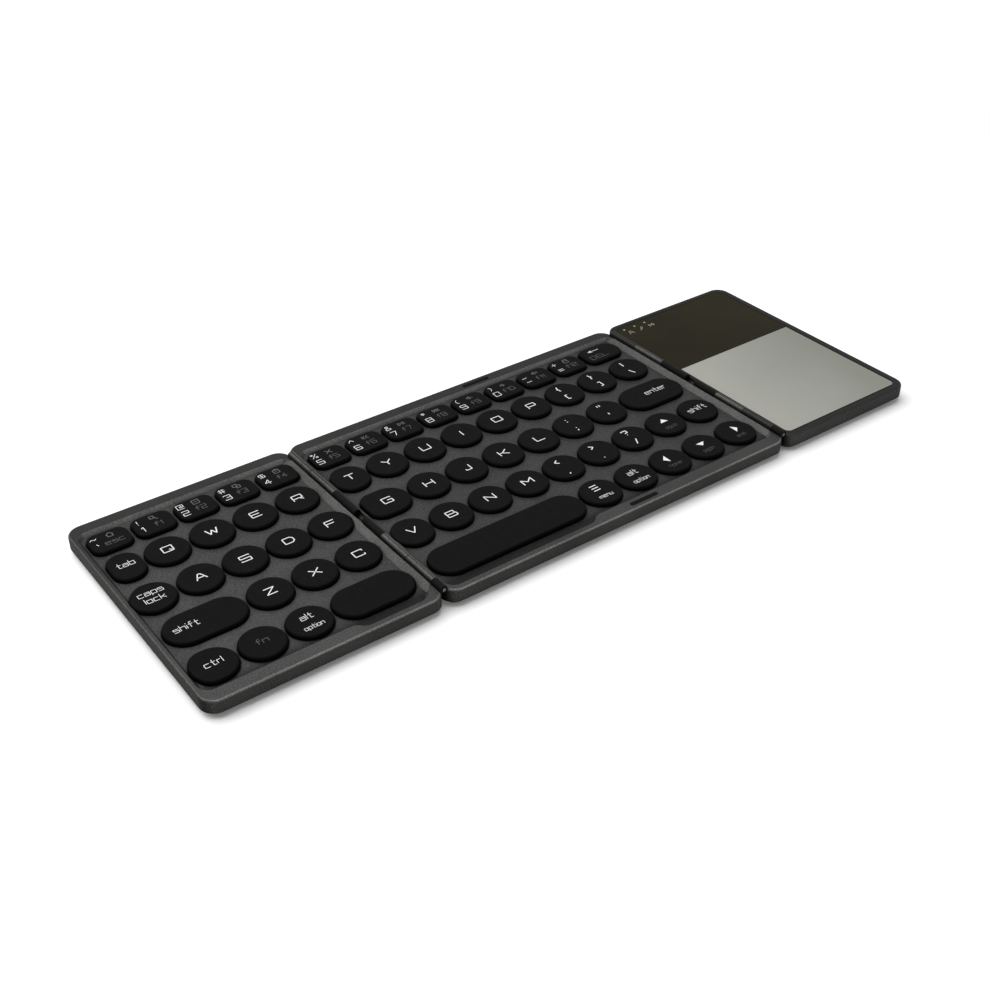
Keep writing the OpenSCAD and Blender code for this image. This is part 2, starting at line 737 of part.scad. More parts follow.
module center_frame() color(casing_grey) difference() {
    union() {
        difference() {
            casing(center_span);
            deck_recess(hinge_l + rim_hinge, hinge_r - ramp_top);
            front_step(hinge_l + rim_hinge, center_space_x);
        }
        at_right_hinge() mirror([1, 0, 0]) ramp();
        screw_bosses(center_screw_x);
        stakes(center_stake_x, stake_r, z_floor + sink, z_under + sink);
        at_left_hinge() center_knuckles();
        at_right_hinge() center_knuckles();
    }
    key_openings(center_all);
    at_left_hinge() {
        center_notches();
        pin_bore();
        tongue(2, 1, tongue_gap);
    }
    at_right_hinge() {
        center_notches();
        pin_bore();
        tongue(2, 1, tongue_gap);
    }
    screw_pilots(center_screw_x);
    magnets(center_magnet_x, fit_gap);
    bumpers(touch_gap);
}

module right_frame() color(casing_grey) difference() {
    union() {
        casing(right_span);
        screw_bosses(right_screw_x);
        at_right_hinge() wing_knuckles();
    }
    slab(grown(touch_box, touch_gap), [touch_r + touch_gap, touch_r + touch_gap],
        [z_touch, z_rim + cut]);
    slab(window_box, [touch_r / 2, touch_r / 2], [z_under - cut, z_touch + cut]);
    at_right_hinge() {
        wing_notches();
        pin_bore();
        tongue(4, -1, tongue_gap);
    }
    screw_pilots(right_screw_x);
    magnets(right_magnet_x, fit_gap);
    translate([socket_x, back, z_board + board_t + socket_h / 2])
        cube([socket_w + 2 * socket_side_gap, 2 * (wall + ledge_y + touch_y), socket_h + 2 * socket_gap],
            center = true);
}

// ---- Bottom shells ----

module bottom_shell(span, screw_xs, foot_xs) color(casing_grey) difference() {
    slab(footprint(span, 0), [corner_r, corner_r], [foot_h, z_seam - seam], 0,
        [shell_h - seam, shell_in]);
    slab(footprint(span, shell_wall), [corner_r - shell_wall, corner_r - shell_wall],
        [z_floor, z_seam + cut]);
    for (x = screw_xs)
        both_edges(screw_y) {
            translate([x, 0, foot_h - cut]) cylinder(r = screw_r + fit_gap, h = floor_t + 2 * cut);
            translate([x, 0, foot_h - cut]) cylinder(r = head_r + fit_gap, h = cut + head_h + head_set);
        }
    for (x = foot_xs)
        both_edges(foot_y) translate([x, 0, foot_h - cut])
            cylinder(r = foot_r + fit_gap, h = cut + foot_in);
}

left_foot_x = [left_end + foot_x];
center_foot_x = [hinge_l + foot_x, hinge_r - foot_x];
right_foot_x = [right_end - foot_x];

module left_shell() bottom_shell(left_span, left_screw_x, left_foot_x);
module center_shell() bottom_shell(center_span, center_screw_x, center_foot_x);

module right_shell() color(casing_grey) {
    bottom_shell(right_span, right_screw_x, right_foot_x);
    for (x = [board_x + post_in, board_x + board_l - post_in],
         y = [board_y + post_in, board_y + board_d - post_back])
        translate([x, y, z_floor - sink]) cylinder(r = post_r, h = post_h + sink);
}

// ---- Screws, feet, magnets and bumpers ----

module screws(xs) color(steel) {
    for (x = xs)
        both_edges(screw_y) translate([x, 0, foot_h + head_set]) difference() {
            union() {
                cylinder(r = head_r, h = head_h);
                cylinder(r = screw_r, h = z_under - foot_h);
            }
            translate([0, 0, -cut]) cylinder(r = head_r / 2, h = cut + head_h / 2, $fn = 6);
        }
}

module feet(xs) color([0.08, 0.08, 0.08]) {
    for (x = xs)
        both_edges(foot_y) translate([x, 0, 0])
            slab([-foot_r, foot_r, -foot_r, foot_r], [foot_r, foot_r], [0, foot_h + foot_in], 0,
                [foot_h / 2, foot_h / 2]);
}

module bumpers(g = 0) {
    x = hinge_r - bumper_x;
    r = bumper_w / 2 + g;
    both_edges(bumper_y)
        slab([x - bumper_l / 2 - g, x + bumper_l / 2 + g, -r, r], [r, r],
            [z_deck, g > 0 ? z_rim + cut : z_rim + bumper_up], g > 0 ? 0 : bumper_up);
}

// ---- Layers under the keys ----

module layer(span, z, stake_xs) {
    difference() {
        slab(concat([span[0] + shell_wall + layer_gap, span[1] - shell_wall - layer_gap],
            [-back + layer_y, back - layer_y]), [layer_r, layer_r], z);
        stakes(stake_xs, stake_r + stake_gap, z[0] - cut, z[1] + cut);
    }
}

module dome_mat(span, list, stake_xs) color([0.75, 0.76, 0.78]) {
    difference() {
        union() {
            layer(span, [z_sheet, z_mat], stake_xs);
            for (k = list, s = stems(k))
                translate([s[0], s[1], 0]) rotate_extrude() polygon([
                    [0, z_sheet], [dome_r, z_sheet], [dome_r, z_mat],
                    [collar_r + collar_slope, z_stem + stem_in / 2], [collar_r, z_stem + stem_in],
                    [0, z_stem + stem_in]
                ]);
        }
        for (k = list, s = stems(k))
            translate([s[0], s[1], z_sheet - cut])
                cylinder(r = stem_r + stem_gap, h = z_key - z_sheet + cut);
    }
}

// ---- Touch plate ----

touch_box = [touch_x[0], touch_x[1], -back + touch_y, back - touch_y];
window_box = [
    touch_x[0] + ledge_x, touch_x[1] - ledge_x, touch_box[2] + ledge_y, touch_box[3] - ledge_y
];

module lights(r, z0, z1) {
    for (i = [0:2])
        translate([hinge_r + light_x + i * light_pitch, back - light_y, z0])
            cylinder(r = r, h = z1 - z0);
}

module touch_plate() color([0.35, 0.33, 0.31]) difference() {
    slab(touch_box, [touch_r, touch_r], [z_touch, z_touch + touch_t], touch_edge);
    lights(light_r + light_gap, z_touch - cut, z_rim + cut);
}

module touch_board() color([0.1, 0.35, 0.2]) {
    top = z_touch - touch_board_drop;
    slab(grown(window_box, -touch_board_gap), [touch_r / 2, touch_r / 2], [top - touch_board_t, top]);
}

// ---- Electronics in the right wing ----

module battery() color([0.6, 0.6, 0.62])
    slab([board_x, board_x + battery_l, board_y - battery_gap - battery_d, board_y - battery_gap],
        [battery_r, battery_r], [z_floor, z_floor + battery_t], battery_edge);

// Chips: place on the board, then length, depth and height
chips = [[[6, 4], [6, 6, 0.8]], [[18, 5], [3.2, 2.5, 0.7]], [[board_l - 16, 4], [11, 9, 1.4]]];

module main_board() color([0.05, 0.3, 0.15]) {
    corner_x = right_screw_x[0] + boss_r + board_gap;
    corner_y = back - screw_y - boss_r - board_gap;
    difference() {
        translate([board_x, board_y, z_board]) cube([board_l, board_d, board_t]);
        translate([board_x - cut, corner_y, z_board - cut])
            cube([corner_x - board_x + cut, back - corner_y, board_t + 2 * cut]);
    }
    for (c = chips)
        translate([board_x + c[0][0], board_y + c[0][1], z_board + board_t - sink])
            cube([c[1][0], c[1][1], c[1][2] + sink]);
}

module charging_socket() color(steel) {
    z = z_board + board_t;
    y0 = back - socket_in - socket_d;
    translate([socket_x - socket_w / 2, y0, z]) difference() {
        cube([socket_w, socket_d, socket_h]);
        translate([socket_t, socket_end, socket_t])
            cube([socket_w - 2 * socket_t, socket_d, socket_h - 2 * socket_t]);
    }
    translate([socket_x - socket_w / 4, y0 + blade_in, z + (socket_h - blade_t) / 2])
        cube([socket_w / 2, socket_d - socket_end - blade_in, blade_t]);
}

// ---- Nodes ----

left_frame();
center_frame();
right_frame();
left_shell();
center_shell();
right_shell();
screws(left_screw_x);  // left_screws
screws(center_screw_x);  // center_screws
screws(right_screw_x);  // right_screws
feet(left_foot_x);  // left_feet
feet(center_foot_x);  // center_feet
feet(right_foot_x);  // right_feet
color(steel) layer(left_span, [z_floor, z_plate], left_stake_x);  // left_base_plate
color(steel) layer(center_span, [z_floor, z_plate], center_stake_x);  // center_base_plate
color([0.8, 0.8, 0.75]) layer(left_span, [z_plate, z_sheet], left_stake_x);  // left_switch_sheet
color([0.8, 0.8, 0.75]) layer(center_span, [z_plate, z_sheet], center_stake_x);  // center_switch_sheet
dome_mat(left_span, left_all, left_stake_x);  // left_dome_mat
dome_mat(center_span, center_all, center_stake_x);  // center_dome_mat
color(steel) magnets(left_magnet_x);  // left_magnets
color(steel) magnets(center_magnet_x);  // center_magnets
color(steel) magnets(right_magnet_x);  // right_magnets
at_left_hinge() hinge_pins();  // left_hinge_pins
at_right_hinge() hinge_pins();  // right_hinge_pins
at_left_hinge() hinge_sleeve(2, 1);  // left_hinge_center_sleeve
at_left_hinge() hinge_sleeve(4, -1);  // left_hinge_wing_sleeve
at_right_hinge() hinge_sleeve(2, 1);  // right_hinge_center_sleeve
at_right_hinge() hinge_sleeve(4, -1);  // right_hinge_wing_sleeve
at_left_hinge() hinge_cap();  // left_hinge_cap
at_right_hinge() hinge_cap();  // right_hinge_cap
color([0.08, 0.08, 0.08]) bumpers();  // rim_bumpers
touch_plate();
touch_board();
color([0.8, 0.85, 0.9]) lights(light_r, z_touch, z_touch + touch_t);  // indicator_lights
battery();
main_board();
charging_socket();
keys(left_numbers);  // left_number_keys
keys(tab);  // tab_key
keys(left_uppers);  // left_upper_keys
keys(caps);  // caps_key
keys(left_homes);  // left_home_keys
keys(left_shift);  // left_shift_key
keys(left_lowers);  // left_lower_keys
keys(ctrl);  // ctrl_key
keys(left_modifiers);  // left_modifier_keys
keys(left_space);  // left_space_key
keys(center_numbers);  // center_number_keys
keys(delete);  // delete_key
keys(center_edges);  // center_edge_keys
keys(center_uppers);  // center_upper_keys
keys(center_homes);  // center_home_keys
keys(enter);  // enter_key
keys(center_lowers);  // center_lower_keys
keys(up);  // up_key
keys(right_shift);  // right_shift_key
keys(center_space);  // center_space_key
keys(center_modifiers);  // center_modifier_keys
keys(left_arrow);  // left_arrow_key
keys(down);  // down_key
keys(right_arrow);  // right_arrow_key
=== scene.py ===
import math

import bmesh
import bpy
from mathutils import Matrix, Vector


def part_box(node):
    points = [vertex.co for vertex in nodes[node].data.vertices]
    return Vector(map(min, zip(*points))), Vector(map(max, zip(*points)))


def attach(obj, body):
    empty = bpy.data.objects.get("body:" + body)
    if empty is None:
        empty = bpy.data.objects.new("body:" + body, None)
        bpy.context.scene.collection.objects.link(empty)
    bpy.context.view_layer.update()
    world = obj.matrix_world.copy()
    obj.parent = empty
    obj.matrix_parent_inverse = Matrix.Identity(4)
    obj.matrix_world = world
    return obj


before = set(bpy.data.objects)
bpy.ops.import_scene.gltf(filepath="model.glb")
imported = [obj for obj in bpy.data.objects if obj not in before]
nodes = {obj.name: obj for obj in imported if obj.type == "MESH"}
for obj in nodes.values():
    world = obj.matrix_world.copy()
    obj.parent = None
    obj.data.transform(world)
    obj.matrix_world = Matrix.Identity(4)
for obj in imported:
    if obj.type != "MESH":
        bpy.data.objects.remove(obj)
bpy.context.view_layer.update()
mm = 0.001   # sizes and places below are in millimetres
print("frame loaded:", len(nodes), "nodes")


# angles in degrees, the azimuth counted round from the front edge
cameraSet = {
    "azimuth": -36.291,
    "elevation": 34.975,
    "roll": -0.265,
    "place": (-243.2, -317.9, 268.7),
    "lens": 50.33,
    "sensor": 36,
    "nearest": 10,
    "farthest": 20000,
}


def makeCamera(s):
    turn, lift, roll = (math.radians(s[key]) for key in ("azimuth", "elevation", "roll"))
    back = Vector((math.sin(turn) * math.cos(lift), -math.cos(turn) * math.cos(lift), math.sin(lift)))
    level = Vector((math.cos(turn), math.sin(turn), 0))
    upright = back.cross(level)
    side = math.cos(roll) * level + math.sin(roll) * upright
    up = math.cos(roll) * upright - math.sin(roll) * level
    data = bpy.data.cameras.new("camera")
    data.lens = s["lens"]
    data.sensor_width = s["sensor"]
    data.clip_start = s["nearest"] * mm
    data.clip_end = s["farthest"] * mm
    camera = bpy.data.objects.new("camera", data)
    bpy.context.collection.objects.link(camera)
    turned = Matrix((side, up, back)).transposed().to_4x4()
    camera.matrix_world = Matrix.Translation(Vector(s["place"]) * mm) @ turned
    bpy.context.scene.camera = camera


makeCamera(cameraSet)
print("camera placed")


# shader helpers: the ones named add put a node into a material's tree

noiseSpread = (0.3, 0.7)   # most of a noise's values lie between these


def startFinish(name, color, rough, metal, specular):
    # a material with its plain values set, its tree, its shader and the object's coordinates
    finish = bpy.data.materials.new(name)
    finish.use_nodes = True
    tree = finish.node_tree
    shader = tree.nodes["Principled BSDF"]
    shader.inputs["Base Color"].default_value = (*color, 1)
    shader.inputs["Roughness"].default_value = rough
    shader.inputs["Metallic"].default_value = metal
    shader.inputs["Specular IOR Level"].default_value = specular
    coords = tree.nodes.new("ShaderNodeTexCoord")
    return finish, tree, shader, coords


def addNoise(tree, coords, scale, detail=2, stretch=(1, 1, 1)):
    mapping = tree.nodes.new("ShaderNodeMapping")
    mapping.inputs["Scale"].default_value = stretch
    noise = tree.nodes.new("ShaderNodeTexNoise")
    noise.inputs["Scale"].default_value = scale
    noise.inputs["Detail"].default_value = detail
    tree.links.new(coords.outputs["Object"], mapping.inputs["Vector"])
    tree.links.new(mapping.outputs["Vector"], noise.inputs["Vector"])
    return noise.outputs[0]


def addMath(tree, kind, first, second=0):
    # the values may be numbers or sockets
    node = tree.nodes.new("ShaderNodeMath")
    node.operation = kind
    for socket, value in zip(node.inputs, (first, second)):
        if isinstance(value, (int, float)):
            socket.default_value = value
        else:
            tree.links.new(value, socket)
    return node.outputs[0]


def addTimes(tree, first, second):
    return addMath(tree, "MULTIPLY", first, second)


def addRange(tree, value, start, end, low=0, high=1):
    # low at start, high at end, even between them and held outside them
    node = tree.nodes.new("ShaderNodeMapRange")
    tree.links.new(value, node.inputs["Value"])
    node.inputs["From Min"].default_value = start
    node.inputs["From Max"].default_value = end
    node.inputs["To Min"].default_value = low
    node.inputs["To Max"].default_value = high
    return node.outputs["Result"]


def addSpan(tree, value, span, low=0, high=1):
    # a range over places on an axis, given in millimetres
    return addRange(tree, value, span[0] * mm, span[1] * mm, low, high)


def addBlend(tree, factor, first, second, kind="MIX"):
    # colours may be tuples or sockets, and the factor a number or a socket
    node = tree.nodes.new("ShaderNodeMix")
    node.data_type = "RGBA"
    node.blend_type = kind
    if isinstance(factor, (int, float)):
        node.inputs[0].default_value = factor
    else:
        tree.links.new(factor, node.inputs[0])
    for socket, value in zip((node.inputs[6], node.inputs[7]), (first, second)):
        if isinstance(value, tuple):
            socket.default_value = (*value, 1)
        else:
            tree.links.new(value, socket)
    return node.outputs[2]


def addBump(tree, shader, height, distance):
    bump = tree.nodes.new("ShaderNodeBump")
    bump.inputs["Distance"].default_value = distance * mm
    bump.inputs["Strength"].default_value = 1
    tree.links.new(height, bump.inputs["Height"])
    tree.links.new(bump.outputs["Normal"], shader.inputs["Normal"])


def splitAxes(tree, vector):
    node = tree.nodes.new("ShaderNodeSeparateXYZ")
    tree.links.new(vector, node.inputs["Vector"])
    return node.outputs


def facing(tree, coords, axis):
    # how far a face looks along an axis of its own piece, either way, from 0 to 1
    return addMath(tree, "ABSOLUTE", splitAxes(tree, coords.outputs["Normal"])[axis])


# casing paint, with painted light and shade laid over it by place
paintSet = {
    "name": "gunmetal_paint",
    "dark": (0.0320, 0.0320, 0.0325),
    "light": (0.0780, 0.0775, 0.0763),
    "rough": 0.44,
    "smoother": 0.05,              # how far the clouds bring the roughness under that
    "rougher": 0.06,               # and over it
    "metal": 0.35,
    "wallMetal": 0.1,              # share of it that an upright wall keeps
    "specular": 0.06,
    "wallSpecular": 0.2,
    "flakes": 2300,                # scales of the noises
    "clouds": 38,
    "grain": 9000,
    "flakeShare": 0.7,             # of the speckle, the rest is clouds
    "speckle": (0.36, 0.64),       # where it is still dark and where it is all light
    "bump": 0.012,
    "maskSamples": 6,
    # shares of the colour that are left, most of them painted light and shade
    "wall": (1.38, 1.38, 1.33),    # painted light on upright walls
    "slope": (3.00, 2.97, 2.86),   # painted highlight on slopes and round edges that run along the keyboard
    "ramp": (1.50, 1.49, 1.44),    # painted light on those that run across it, with the hinge knuckles
    "rim": (1.06, 1.06, 1.06),     # painted light on the flat tops of the rims
    "rear": (0.44, 0.44, 0.44),    # painted shade on those along the back edge
    "far": (0.72, 0.72, 0.72),     # painted shade on tops towards the right end, where the light falls off
    "end": (0.30, 0.30, 0.29),     # painted shade on the end walls
    "foot": (0.24, 0.24, 0.25),    # painted shadow where the key deck meets the front rim
    "wear_and_highlight": (1.55, 1.55, 1.53),    # wear, and a painted highlight, on a sharp edge
    "corner": (0.28, 0.28, 0.28),  # painted shade, with dust, in a corner that is shut in
    # how far a face looks up, where each kind starts and where it is full
    "wallFacing": (0.45, 0.05),
    "tiltFacing": (0.30, 0.50),
    "topFacing": (0.93, 0.985),
    # and how far it looks towards the left or right end
    "rampFacing": (0.20, 0.40),
    "endFacing": (0.55, 0.90),
    # and its place, in the same way
    "topHeight": (5.0, 5.4),       # z
    "rimHeight": (6.0, 6.6),
    "rearSpan": (-45.0, 45.0),     # y
    "footSpan": (-40.5, -44.2),
    "farSpan": (-100, 70),         # x
    # edge wear with a painted highlight, and painted shade with dust in corners
    "edge": 0.22,                  # how far the wear along an edge reaches
    "edgeMatch": (0.995, 0.90),         # how well the rounded edge matches the flat where the wear and painted highlight start and are full
    "reach": 5.0,                  # how near a wall or a key has to be to shut a spot in
    "shut": (0.96, 0.40),          # how open a spot is where the painted shade and dust start and are full
    "open": (0.80, 0.98),          # and where the wear and painted highlight do
}

# the right frame, which is nearly black round the touch plate; its slopes and ramps take painted shade in
# place of the painted highlight on the other frames
darkSet = {
    **paintSet,
    "name": "dark_paint",
    "rim": (0.22, 0.22, 0.22),
    "slope": (0.60, 0.60, 0.60),
    "ramp": (0.60, 0.60, 0.60),
    "far": (1.0, 1.0, 1.0),
}


def openness(tree, s):
    # 1 in the open, falling towards 0 where a surface is shut in by its neighbours
    node = tree.nodes.new("ShaderNodeAmbientOcclusion")
    node.samples = s["maskSamples"]
    node.inputs["Distance"].default_value = s["reach"] * mm
    return node.outputs["AO"]


def edgeWearAndHighlight(tree, s):
    # 1 along a sharp edge and 0 on a flat, where wear and a painted highlight go
    soft = tree.nodes.new("ShaderNodeBevel")
    soft.samples = s["maskSamples"]
    soft.inputs["Radius"].default_value = s["edge"] * mm
    flat = tree.nodes.new("ShaderNodeNewGeometry")
    match = tree.nodes.new("ShaderNodeVectorMath")
    match.operation = "DOT_PRODUCT"
    tree.links.new(soft.outputs["Normal"], match.inputs[0])
    tree.links.new(flat.outputs["Normal"], match.inputs[1])
    return addRange(tree, match.outputs["Value"], *s["edgeMatch"])


def paintPlaces(tree, coords, s):
    # a mask from 0 to 1 for each place that has its own share of the colour; most of these shares are painted
    # light and shade
    up = facing(tree, coords, "Z")
    across = facing(tree, coords, "X")
    spot = splitAxes(tree, coords.outputs["Object"])
    free = openness(tree, s)
    level = addRange(tree, up, *s["topFacing"])
    tilted = addTimes(tree, addRange(tree, up, *s["tiltFacing"]), addMath(tree, "SUBTRACT", 1, level))
    steep = addRange(tree, across, *s["rampFacing"])
    top = addTimes(tree, level, addSpan(tree, spot["Z"], s["topHeight"]))
    high = addSpan(tree, spot["Z"], s["rimHeight"])
    rim = addTimes(tree, level, high)
    deck = addTimes(tree, top, addMath(tree, "SUBTRACT", 1, high))
    return {
        "wall": addRange(tree, up, *s["wallFacing"]),
        "slope": addTimes(tree, tilted, addMath(tree, "SUBTRACT", 1, steep)),
        "ramp": addTimes(tree, tilted, steep),
        "rim": rim,
        "rear": addTimes(tree, rim, addSpan(tree, spot["Y"], s["rearSpan"])),
        "far": addTimes(tree, top, addSpan(tree, spot["X"], s["farSpan"])),
        "end": addRange(tree, across, *s["endFacing"]),
        # painted shadow along the foot of the front rim
        "foot": addTimes(tree, deck, addSpan(tree, spot["Y"], s["footSpan"])),
        # wear with a painted highlight on open sharp edges
        "wear_and_highlight": addTimes(tree, edgeWearAndHighlight(tree, s), addRange(tree, free, *s["open"])),
        # painted shade, with dust, in corners and beside keys
        "corner": addRange(tree, free, *s["shut"]),
    }


def casingPaint(s):
    finish, tree, shader, coords = startFinish(s["name"], s["dark"], s["rough"], s["metal"], s["specular"])
    flakes = addNoise(tree, coords, s["flakes"], 3)
    clouds = addNoise(tree, coords, s["clouds"], 4)
    flakePart = addTimes(tree, flakes, s["flakeShare"])
    cloudPart = addTimes(tree, clouds, 1 - s["flakeShare"])
    speckle = addRange(tree, addMath(tree, "ADD", flakePart, cloudPart), *s["speckle"])
    color = addBlend(tree, speckle, s["dark"], s["light"])
    places = paintPlaces(tree, coords, s)
    # each place's share laid over the speckled paint: painted light and shade, with wear and dust
    for place, mask in places.items():
        share = addBlend(tree, 1.0, color, s[place], "MULTIPLY")
        color = addBlend(tree, mask, color, share)
    tree.links.new(color, shader.inputs["Base Color"])
    metal = addRange(tree, places["wall"], 0, 1, s["metal"], s["metal"] * s["wallMetal"])
    tree.links.new(metal, shader.inputs["Metallic"])
    specular = addRange(tree, places["wall"], 0, 1, s["specular"], s["specular"] * s["wallSpecular"])
    tree.links.new(specular, shader.inputs["Specular IOR Level"])
    roughness = addRange(tree, clouds, *noiseSpread, s["rough"] - s["smoother"], s["rough"] + s["rougher"])
    tree.links.new(roughness, shader.inputs["Roughness"])
    addBump(tree, shader, addNoise(tree, coords, s["grain"]), s["bump"])
    return finish


# key plastic
keySet = {
    # the skirts darker than the tops by painted shade; the skirts are also glossier
    "top": (0.0072, 0.0072, 0.0077),
    "skirt": (0.0023, 0.0023, 0.0027),
    "topFacing": (0.92, 0.985),    # how far up a face looks where the skirt ends and where the top is full
    "roughTop": 0.62,
    "roughSkirt": 0.30,
    "specular": 0.018,
    "mottle": 420,
    "mottleShare": (0.86, 1.12),   # least and greatest share of the colour in the mottle
    "grain": 7000,
    "bump": 0.010,
}


def keyPlastic(s):
    finish, tree, shader, coords = startFinish("key_plastic", s["top"], s["roughTop"], 0, s["specular"])
    top = addRange(tree, facing(tree, coords, "Z"), *s["topFacing"])
    mottle = addRange(tree, addNoise(tree, coords, s["mottle"], 4), *noiseSpread, *s["mottleShare"])
    shade = tree.nodes.new("ShaderNodeVectorMath")
    shade.operation = "SCALE"
    # painted shade on the skirts, blended into the tops by how far a face looks up
    tree.links.new(addBlend(tree, top, s["skirt"], s["top"]), shade.inputs[0])
    tree.links.new(mottle, shade.inputs["Scale"])
    tree.links.new(shade.outputs[0], shader.inputs["Base Color"])
    tree.links.new(addRange(tree, top, 0, 1, s["roughSkirt"], s["roughTop"]), shader.inputs["Roughness"])
    addBump(tree, shader, addNoise(tree, coords, s["grain"]), s["bump"])
    return finish


# plain finishes with some grain
plainSet = {
    "sleeve_plastic": {"dark": (0.0050, 0.0050, 0.0050), "light": (0.0090, 0.0090, 0.0090),
                       "rough": 0.45, "specular": 0.03, "scale": 1500, "bump": 0.010},
    "rubber": {"dark": (0.008, 0.008, 0.008), "light": (0.013, 0.013, 0.013),
               "rough": 0.8, "specular": 0.02, "scale": 2600, "bump": 0.030},
    "zinc_steel": {"dark": (0.30, 0.30, 0.31), "light": (0.46, 0.46, 0.47),
                   "rough": 0.38, "metal": 1.0, "scale": 220, "bump": 0.006},
    "black_steel": {"dark": (0.035, 0.035, 0.037), "light": (0.070, 0.070, 0.072),
                    "rough": 0.36, "metal": 0.9, "scale": 900, "bump": 0.008},
    "pin_steel": {"dark": (0.09, 0.09, 0.09), "light": (0.15, 0.15, 0.15),
                  "rough": 0.32, "metal": 0.9, "scale": 400, "bump": 0.003, "stretch": (8, 0.4, 8)},
    "magnet_nickel": {"dark": (0.52, 0.50, 0.47), "light": (0.62, 0.61, 0.58),
                      "rough": 0.22, "metal": 1.0, "scale": 300, "bump": 0.003},
    "sheet_film": {"dark": (0.32, 0.30, 0.22), "light": (0.42, 0.40, 0.31),
                   "rough": 0.35, "scale": 160, "bump": 0.004},
    "dome_silicone": {"dark": (0.36, 0.37, 0.38), "light": (0.47, 0.48, 0.49),
                      "rough": 0.55, "scale": 700, "bump": 0.010},
    "board_resin": {"dark": (0.010, 0.055, 0.026), "light": (0.018, 0.085, 0.040),
                    "rough": 0.40, "scale": 520, "bump": 0.015},
    "cell_foil": {"dark": (0.42, 0.43, 0.44), "light": (0.58, 0.58, 0.58),
                  "rough": 0.34, "metal": 0.8, "scale": 130, "bump": 0.020},
    "socket_steel": {"dark": (0.36, 0.36, 0.36), "light": (0.50, 0.50, 0.50),
                     "rough": 0.28, "metal": 1.0, "scale": 600, "bump": 0.003},
    "print_white": {"dark": (0.90, 0.90, 0.90), "light": (0.97, 0.97, 0.97),
                    "rough": 0.55, "specular": 0.2, "scale": 2400, "bump": 0.002},
    "print_grey": {"dark": (0.165, 0.165, 0.168), "light": (0.215, 0.215, 0.218),
                   "rough": 0.55, "specular": 0.1, "scale": 2400, "bump": 0.002},
    "print_dim": {"dark": (0.075, 0.075, 0.077), "light": (0.105, 0.105, 0.107),
                  "rough": 0.55, "specular": 0.1, "scale": 2400, "bump": 0.002},
    "print_cream": {"dark": (0.34, 0.31, 0.25), "light": (0.44, 0.41, 0.33),
                    "rough": 0.5, "specular": 0.2, "scale": 2400, "bump": 0.002},
}
roughShares = (0.88, 1.14)   # a plain finish's least and greatest roughness, as shares of its own


def grainedFinish(name, s):
    metal, specular = s.get("metal", 0.0), s.get("specular", 0.4)
    finish, tree, shader, coords = startFinish(name, s["dark"], s["rough"], metal, specular)
    grain = addNoise(tree, coords, s["scale"], 4, s.get("stretch", (1, 1, 1)))
    tint = addBlend(tree, addRange(tree, grain, *noiseSpread), s["dark"], s["light"])
    tree.links.new(tint, shader.inputs["Base Color"])
    least, most = (share * s["rough"] for share in roughShares)
    tree.links.new(addRange(tree, grain, *noiseSpread, least, most), shader.inputs["Roughness"])
    addBump(tree, shader, grain, s["bump"])
    return finish


# touch plate
glassSet = {
    "dark": (0.0140, 0.0113, 0.0050),
    "light": (0.0237, 0.0194, 0.0090),
    "rough": 0.20,
    "smoother": 0.04,
    "rougher": 0.06,
    "specular": 0.02,
    "clouds": 24,
    "smears": 60,
    "smearStretch": (1, 3, 1),
    "grain": 5200,
    "bump": 0.004,
}


def smokedGlass(s):
    finish, tree, shader, coords = startFinish("smoked_glass", s["dark"], s["rough"], 0, s["specular"])
    clouds = addRange(tree, addNoise(tree, coords, s["clouds"], 3), *noiseSpread)
    tree.links.new(addBlend(tree, clouds, s["dark"], s["light"]), shader.inputs["Base Color"])
    smears = addNoise(tree, coords, s["smears"], 5, s["smearStretch"])
    roughness = addRange(tree, smears, *noiseSpread, s["rough"] - s["smoother"], s["rough"] + s["rougher"])
    tree.links.new(roughness, shader.inputs["Roughness"])
    addBump(tree, shader, addNoise(tree, coords, s["grain"]), s["bump"])
    return finish


# printed film on the front of the touch plate
filmSet = {
    "pale": (0.3780, 0.3780, 0.3420),
    "dull": (0.2480, 0.2560, 0.2230),
    "dullSpan": (88, 139),   # x where the pale colour ends and where the dull one is full
    "rough": 0.46,
    "metal": 0.30,
    "specular": 0.12,
    "clouds": 30,
    "cloudDepth": 0.10,      # how far clouds and specks shift the colour either way
    "specks": 3000,
    "speckDepth": 0.16,
    "grain": 6400,
    "bump": 0.008,
    "divide": 8.3,           # y of the straight edge towards the dark strip
    "inset": 0.55,           # dark line round the film, from the plate's edge
    "corner": 2.0,
    "rounding": 10,
    "thick": 0.03,
    "sink": 0.005,
}


def touchFilmFinish(s):
    finish, tree, shader, coords = startFinish("touch_film", s["pale"], s["rough"], s["metal"], s["specular"])
    fade = addSpan(tree, splitAxes(tree, coords.outputs["Object"])["X"], s["dullSpan"])
    for scale, depth in ((s["clouds"], s["cloudDepth"]), (s["specks"], s["speckDepth"])):
        shift = addRange(tree, addNoise(tree, coords, scale, 3), *noiseSpread, -depth, depth)
        fade = addMath(tree, "ADD", fade, shift)
    tree.links.new(addBlend(tree, fade, s["pale"], s["dull"]), shader.inputs["Base Color"])
    addBump(tree, shader, addNoise(tree, coords, s["grain"]), s["bump"])
    return finish


finishes = {name: grainedFinish(name, s) for name, s in plainSet.items()}
finishes["gunmetal_paint"] = casingPaint(paintSet)
finishes["dark_paint"] = casingPaint(darkSet)
finishes["key_plastic"] = keyPlastic(keySet)
finishes["smoked_glass"] = smokedGlass(glassSet)
finishes["touch_film"] = touchFilmFinish(filmSet)
print("finishes made:", len(finishes))


